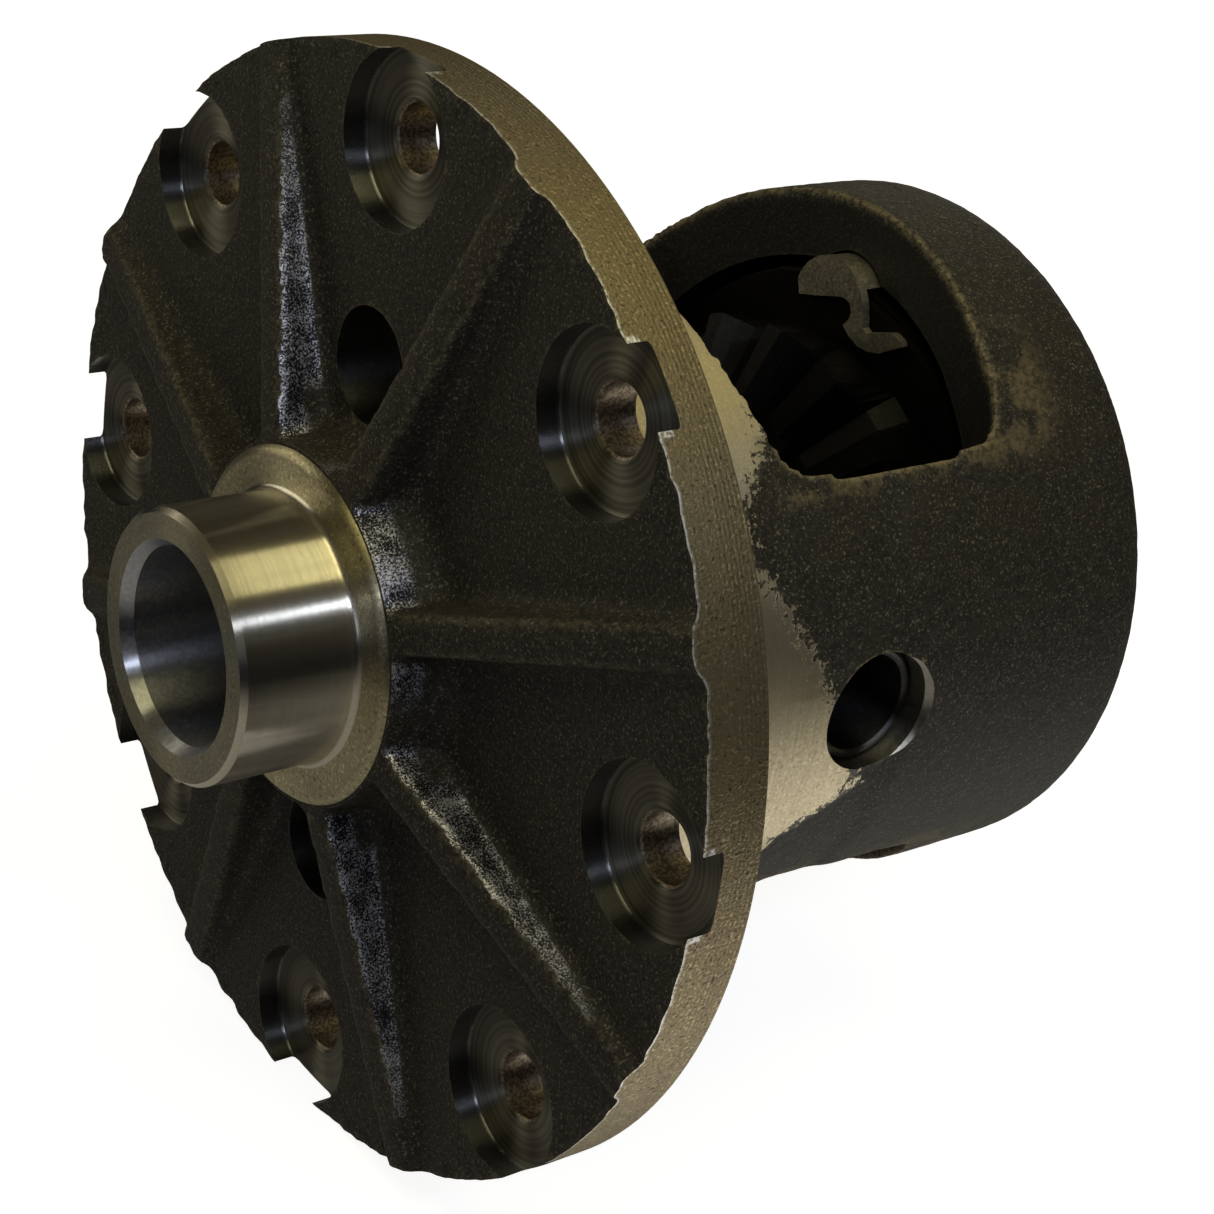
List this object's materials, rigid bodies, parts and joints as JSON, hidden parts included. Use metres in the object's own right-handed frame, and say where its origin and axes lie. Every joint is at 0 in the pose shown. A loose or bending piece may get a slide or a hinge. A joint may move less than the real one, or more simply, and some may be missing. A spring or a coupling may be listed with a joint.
{
  "type": "differential gear assembly",
  "caption": "One-piece cast-iron differential case with ribbed bolt flange and two bearing journals, holding bevel side gears, pinions on a cross-shaft and clutch packs.",
  "frame": {"origin": "where the axle axis meets the cross-shaft's axis", "axes": "+X along the axle axis from the flange hub to the far hub, Y along the cross-shaft, +Z out of one window"},
  "size_m": [0.1666, 0.1722, 0.1722],
  "materials": {
    "cast_iron": "as-cast and speckled, with bright turned journals, rim, pilot and spotfaces",
    "ground_steel": "ground",
    "forged_steel": "dark oiled forging",
    "plate_steel": "stamped",
    "friction_facing": "dull sintered facing on a steel core",
    "spring_steel": "satin"
  },
  "bodies": {
    "case": {"case": "cast_iron", "cross_shaft": "ground_steel", "cross_shaft_lock_screw": "ground_steel", "eared_plate_left_1": "plate_steel", "eared_plate_left_2": "plate_steel", "eared_plate_left_3": "plate_steel", "spring_plate_left": "spring_steel", "ear_clip_left_upper": "spring_steel", "ear_clip_left_lower": "spring_steel", "eared_plate_right_1": "plate_steel", "eared_plate_right_2": "plate_steel", "eared_plate_right_3": "plate_steel", "spring_plate_right": "spring_steel", "ear_clip_right_upper": "spring_steel", "ear_clip_right_lower": "spring_steel", "thrust_washer_front": "spring_steel", "thrust_washer_rear": "spring_steel"},
    "side_gear_left": {"side_gear_left": "forged_steel", "friction_disc_left_1": "friction_facing", "friction_disc_left_2": "friction_facing", "friction_disc_left_3": "friction_facing"},
    "side_gear_right": {"side_gear_right": "forged_steel", "friction_disc_right_1": "friction_facing", "friction_disc_right_2": "friction_facing", "friction_disc_right_3": "friction_facing"},
    "pinion_gear_front": {"pinion_gear_front": "forged_steel"},
    "pinion_gear_rear": {"pinion_gear_rear": "forged_steel"}
  },
  "joints": [
    {"name": "side_gear_right_spin", "type": "hinge", "parent": "case", "child": "side_gear_right", "pos_m": [0.03, 0, 0], "axis": [1, 0, 0], "continuous": true},
    {"name": "side_gear_left_spin", "type": "hinge", "parent": "case", "child": "side_gear_left", "pos_m": [-0.03, 0, 0], "axis": [1, 0, 0], "continuous": true},
    {"name": "pinion_front_spin", "type": "hinge", "parent": "case", "child": "pinion_gear_front", "pos_m": [0, -0.035, 0], "axis": [0, 1, 0], "continuous": true},
    {"name": "pinion_rear_spin", "type": "hinge", "parent": "case", "child": "pinion_gear_rear", "pos_m": [0, 0.035, 0], "axis": [0, 1, 0], "continuous": true}
  ],
  "couplings": [
    {"joint": "side_gear_left_spin", "follows": "side_gear_right_spin", "ratio": -1},
    {"joint": "pinion_front_spin", "follows": "side_gear_right_spin", "ratio": 1.6},
    {"joint": "pinion_rear_spin", "follows": "side_gear_right_spin", "ratio": -1.6}
  ]
}
